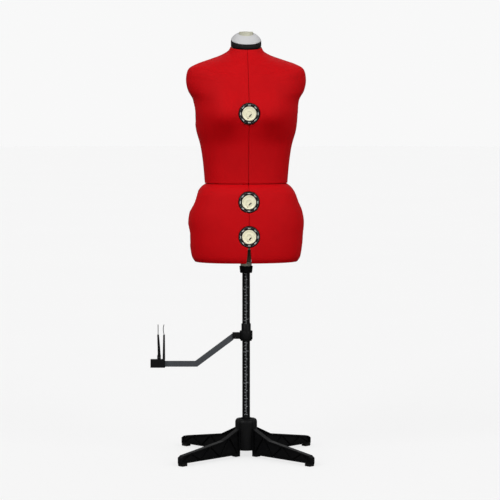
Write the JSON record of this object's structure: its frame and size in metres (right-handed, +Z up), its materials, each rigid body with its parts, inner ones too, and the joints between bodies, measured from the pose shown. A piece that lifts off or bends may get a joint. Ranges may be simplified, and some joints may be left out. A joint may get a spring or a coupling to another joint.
{
  "type": "dress form mannequin",
  "caption": "Adjustable red fabric dress form in split upper and lower sections with dials, on a black pole and four-legged stand with a hem marker.",
  "frame": {"origin": "on the floor under the pole axis, midway between the foot pads", "axes": "+Z up along the pole, the form faces -Y, -X is the left side seen from the front"},
  "size_m": [0.5328, 0.457, 1.349],
  "materials": {
    "red_fabric": "matt knitted nylon over foam",
    "panel_shell": "moulded shell",
    "black_plastic": "satin moulded",
    "bezel_black": "satin moulded with pale marks",
    "dial_ivory": "semi-gloss moulded",
    "ivory_plastic": "semi-gloss moulded",
    "grey_plastic": "satin moulded",
    "neck_trim": "black ribbed trim",
    "pole_black": "semi-gloss black with pale printed scale",
    "rubber_pad": "matt",
    "marker_arm_metal": "satin dark grey",
    "wire_metal": "bright"
  },
  "bodies": {
    "stand": {"base_hub": "black_plastic", "pole_tube": "pole_black", "leg_front_left": "black_plastic", "leg_front_right": "black_plastic", "leg_back_right": "black_plastic", "leg_back_left": "black_plastic", "foot_pad_front_left": "rubber_pad", "foot_pad_front_right": "rubber_pad", "foot_pad_back_right": "rubber_pad", "foot_pad_back_left": "rubber_pad"},
    "marker_bush": {"marker_bush": "black_plastic"},
    "marker_bracket": {"marker_bracket": "black_plastic", "marker_arm": "marker_arm_metal"},
    "marker_thumbscrew": {"marker_thumbscrew": "black_plastic"},
    "marker_slider": {"marker_slider": "black_plastic", "marker_inner_jaw": "black_plastic", "marker_inner_wire": "wire_metal", "marker_jaw_pin": "wire_metal"},
    "marker_outer_jaw": {"marker_outer_jaw": "black_plastic", "marker_outer_wire": "wire_metal"},
    "lock_collar": {"lock_collar": "ivory_plastic"},
    "lock_nut": {"lock_nut": "black_plastic"},
    "lower_frame": {"lower_mast": "ivory_plastic"},
    "upper_frame": {"upper_mast": "ivory_plastic", "neck_band": "neck_trim", "neck_cap": "grey_plastic"},
    "neck_knob": {"neck_knob": "ivory_plastic"},
    "upper_front": {"bust_front_bezel": "bezel_black"},
    "upper_back": {"bust_back_bezel": "bezel_black"},
    "upper_left": {"bust_left_bezel": "bezel_black"},
    "upper_right": {"bust_right_bezel": "bezel_black"},
    "upper_front_left": {"upper_panel_front_left": "panel_shell"},
    "upper_front_right": {"upper_panel_front_right": "panel_shell"},
    "upper_back_left": {"upper_panel_back_left": "panel_shell"},
    "upper_back_right": {"upper_panel_back_right": "panel_shell"},
    "bust_front_dial": {"bust_front_dial": "dial_ivory"},
    "bust_back_dial": {"bust_back_dial": "dial_ivory"},
    "bust_left_dial": {"bust_left_dial": "dial_ivory"},
    "bust_right_dial": {"bust_right_dial": "dial_ivory"},
    "lower_front": {"waist_front_bezel": "bezel_black", "hip_front_bezel": "bezel_black"},
    "lower_back": {"waist_back_bezel": "bezel_black", "hip_back_bezel": "bezel_black"},
    "lower_left": {"waist_left_bezel": "bezel_black", "hip_left_bezel": "bezel_black"},
    "lower_right": {"waist_right_bezel": "bezel_black", "hip_right_bezel": "bezel_black"},
    "lower_front_left": {"lower_panel_front_left": "panel_shell"},
    "lower_front_right": {"lower_panel_front_right": "panel_shell"},
    "lower_back_left": {"lower_panel_back_left": "panel_shell"},
    "lower_back_right": {"lower_panel_back_right": "panel_shell"},
    "waist_front_dial": {"waist_front_dial": "dial_ivory"},
    "waist_back_dial": {"waist_back_dial": "dial_ivory"},
    "waist_left_dial": {"waist_left_dial": "dial_ivory"},
    "waist_right_dial": {"waist_right_dial": "dial_ivory"},
    "hip_front_dial": {"hip_front_dial": "dial_ivory"},
    "hip_back_dial": {"hip_back_dial": "dial_ivory"},
    "hip_left_dial": {"hip_left_dial": "dial_ivory"},
    "hip_right_dial": {"hip_right_dial": "dial_ivory"}
  },
  "joints": [
    {"name": "marker_height", "type": "slide", "parent": "stand", "child": "marker_bush", "axis": [0, 0, 1], "range_m": [-0.2, 0.07]},
    {"name": "marker_swing", "type": "hinge", "parent": "marker_bush", "child": "marker_bracket", "pos_m": [0, 0, 0.388], "axis": [0, 0, 1], "continuous": true},
    {"name": "marker_screw_turn", "type": "hinge", "parent": "marker_bracket", "child": "marker_thumbscrew", "pos_m": [0.00167, 0.01993, 0.388], "axis": [0.0837, 0.9965, 0], "continuous": true},
    {"name": "marker_reach", "type": "slide", "parent": "marker_bracket", "child": "marker_slider", "axis": [-0.9965, 0.0837, 0], "range_m": [-0.085, 0.016]},
    {"name": "marker_grip", "type": "hinge", "parent": "marker_slider", "child": "marker_outer_jaw", "pos_m": [-0.27603, 0.02318, 0.317], "axis": [0.0837, 0.9965, 0], "range_deg": [0, 8], "stiffness_Nm_per_rad": 0.3},
    {"name": "torso_lift", "type": "slide", "parent": "stand", "child": "lock_collar", "axis": [0, 0, 1], "range_m": [-0.08, 0.25]},
    {"name": "lock_nut_turn", "type": "hinge", "parent": "lock_collar", "child": "lock_nut", "pos_m": [0, 0, 0.6], "axis": [0, 0, 1], "continuous": true},
    {"name": "torso_turn", "type": "hinge", "parent": "lock_collar", "child": "lower_frame", "pos_m": [0, 0, 0.7], "axis": [0, 0, 1], "continuous": true},
    {"name": "torso_length", "type": "slide", "parent": "lower_frame", "child": "upper_frame", "axis": [0, 0, 1], "range_m": [0, 0.03]},
    {"name": "neck_knob_turn", "type": "hinge", "parent": "upper_frame", "child": "neck_knob", "pos_m": [0, 0, 1.34], "axis": [0, 0, 1], "continuous": true},
    {"name": "upper_depth", "type": "slide", "parent": "upper_frame", "child": "upper_front", "axis": [0, -1, 0], "range_m": [0, 0.02]},
    {"name": "upper_back_slide", "type": "slide", "parent": "upper_frame", "child": "upper_back", "axis": [0, 1, 0], "range_m": [0, 0.02]},
    {"name": "upper_width", "type": "slide", "parent": "upper_front", "child": "upper_front_left", "axis": [-1, 0, 0], "range_m": [0, 0.02]},
    {"name": "upper_front_right_slide", "type": "slide", "parent": "upper_front", "child": "upper_front_right", "axis": [1, 0, 0], "range_m": [0, 0.02]},
    {"name": "upper_back_left_slide", "type": "slide", "parent": "upper_back", "child": "upper_back_left", "axis": [-1, 0, 0], "range_m": [0, 0.02]},
    {"name": "upper_back_right_slide", "type": "slide", "parent": "upper_back", "child": "upper_back_right", "axis": [1, 0, 0], "range_m": [0, 0.02]},
    {"name": "upper_left_slide", "type": "slide", "parent": "upper_frame", "child": "upper_left", "axis": [-1, 0, 0], "range_m": [0, 0.02]},
    {"name": "upper_right_slide", "type": "slide", "parent": "upper_frame", "child": "upper_right", "axis": [1, 0, 0], "range_m": [0, 0.02]},
    {"name": "bust_front_dial_turn", "type": "hinge", "parent": "upper_front", "child": "bust_front_dial", "pos_m": [0, -0.112, 1.092], "axis": [0, -1, 0], "range_deg": [0, 115]},
    {"name": "bust_back_dial_turn", "type": "hinge", "parent": "upper_back", "child": "bust_back_dial", "pos_m": [0, 0.094, 1.092], "axis": [0, 1, 0], "range_deg": [0, 115]},
    {"name": "bust_left_dial_turn", "type": "hinge", "parent": "upper_left", "child": "bust_left_dial", "pos_m": [-0.1495, 0.012, 1.092], "axis": [-1, 0, 0], "range_deg": [0, 115]},
    {"name": "bust_right_dial_turn", "type": "hinge", "parent": "upper_right", "child": "bust_right_dial", "pos_m": [0.1495, 0.012, 1.092], "axis": [1, 0, 0], "range_deg": [0, 115]},
    {"name": "lower_depth", "type": "slide", "parent": "lower_frame", "child": "lower_front", "axis": [0, -1, 0], "range_m": [0, 0.02]},
    {"name": "lower_back_slide", "type": "slide", "parent": "lower_frame", "child": "lower_back", "axis": [0, 1, 0], "range_m": [0, 0.02]},
    {"name": "lower_width", "type": "slide", "parent": "lower_front", "child": "lower_front_left", "axis": [-1, 0, 0], "range_m": [0, 0.02]},
    {"name": "lower_front_right_slide", "type": "slide", "parent": "lower_front", "child": "lower_front_right", "axis": [1, 0, 0], "range_m": [0, 0.02]},
    {"name": "lower_back_left_slide", "type": "slide", "parent": "lower_back", "child": "lower_back_left", "axis": [-1, 0, 0], "range_m": [0, 0.02]},
    {"name": "lower_back_right_slide", "type": "slide", "parent": "lower_back", "child": "lower_back_right", "axis": [1, 0, 0], "range_m": [0, 0.02]},
    {"name": "lower_left_slide", "type": "slide", "parent": "lower_frame", "child": "lower_left", "axis": [-1, 0, 0], "range_m": [0, 0.02]},
    {"name": "lower_right_slide", "type": "slide", "parent": "lower_frame", "child": "lower_right", "axis": [1, 0, 0], "range_m": [0, 0.02]},
    {"name": "waist_front_dial_turn", "type": "hinge", "parent": "lower_front", "child": "waist_front_dial", "pos_m": [0, -0.102, 0.816], "axis": [0, -1, 0], "range_deg": [0, 115]},
    {"name": "waist_back_dial_turn", "type": "hinge", "parent": "lower_back", "child": "waist_back_dial", "pos_m": [0, 0.098, 0.816], "axis": [0, 1, 0], "range_deg": [0, 115]},
    {"name": "waist_left_dial_turn", "type": "hinge", "parent": "lower_left", "child": "waist_left_dial", "pos_m": [-0.143, 0.012, 0.816], "axis": [-1, 0, 0], "range_deg": [0, 115]},
    {"name": "waist_right_dial_turn", "type": "hinge", "parent": "lower_right", "child": "waist_right_dial", "pos_m": [0.143, 0.012, 0.816], "axis": [1, 0, 0], "range_deg": [0, 115]},
    {"name": "hip_front_dial_turn", "type": "hinge", "parent": "lower_front", "child": "hip_front_dial", "pos_m": [0, -0.11, 0.708], "axis": [0, -1, 0], "range_deg": [0, 115]},
    {"name": "hip_back_dial_turn", "type": "hinge", "parent": "lower_back", "child": "hip_back_dial", "pos_m": [0, 0.119, 0.708], "axis": [0, 1, 0], "range_deg": [0, 115]},
    {"name": "hip_left_dial_turn", "type": "hinge", "parent": "lower_left", "child": "hip_left_dial", "pos_m": [-0.167, 0.012, 0.708], "axis": [-1, 0, 0], "range_deg": [0, 115]},
    {"name": "hip_right_dial_turn", "type": "hinge", "parent": "lower_right", "child": "hip_right_dial", "pos_m": [0.167, 0.012, 0.708], "axis": [1, 0, 0], "range_deg": [0, 115]}
  ],
  "couplings": [
    {"joint": "upper_back_slide", "follows": "upper_depth", "ratio": 1},
    {"joint": "upper_front_right_slide", "follows": "upper_width", "ratio": 1},
    {"joint": "upper_back_left_slide", "follows": "upper_width", "ratio": 1},
    {"joint": "upper_back_right_slide", "follows": "upper_width", "ratio": 1},
    {"joint": "upper_left_slide", "follows": "upper_width", "ratio": 1},
    {"joint": "upper_right_slide", "follows": "upper_width", "ratio": 1},
    {"joint": "bust_front_dial_turn", "follows": "upper_width", "rad_per_m": 100},
    {"joint": "bust_back_dial_turn", "follows": "upper_width", "rad_per_m": 100},
    {"joint": "bust_left_dial_turn", "follows": "upper_depth", "rad_per_m": 100},
    {"joint": "bust_right_dial_turn", "follows": "upper_depth", "rad_per_m": 100},
    {"joint": "lower_back_slide", "follows": "lower_depth", "ratio": 1},
    {"joint": "lower_front_right_slide", "follows": "lower_width", "ratio": 1},
    {"joint": "lower_back_left_slide", "follows": "lower_width", "ratio": 1},
    {"joint": "lower_back_right_slide", "follows": "lower_width", "ratio": 1},
    {"joint": "lower_left_slide", "follows": "lower_width", "ratio": 1},
    {"joint": "lower_right_slide", "follows": "lower_width", "ratio": 1},
    {"joint": "waist_front_dial_turn", "follows": "lower_width", "rad_per_m": 100},
    {"joint": "waist_back_dial_turn", "follows": "lower_width", "rad_per_m": 100},
    {"joint": "waist_left_dial_turn", "follows": "lower_depth", "rad_per_m": 100},
    {"joint": "waist_right_dial_turn", "follows": "lower_depth", "rad_per_m": 100},
    {"joint": "hip_front_dial_turn", "follows": "lower_width", "rad_per_m": 100},
    {"joint": "hip_back_dial_turn", "follows": "lower_width", "rad_per_m": 100},
    {"joint": "hip_left_dial_turn", "follows": "lower_depth", "rad_per_m": 100},
    {"joint": "hip_right_dial_turn", "follows": "lower_depth", "rad_per_m": 100}
  ]
}
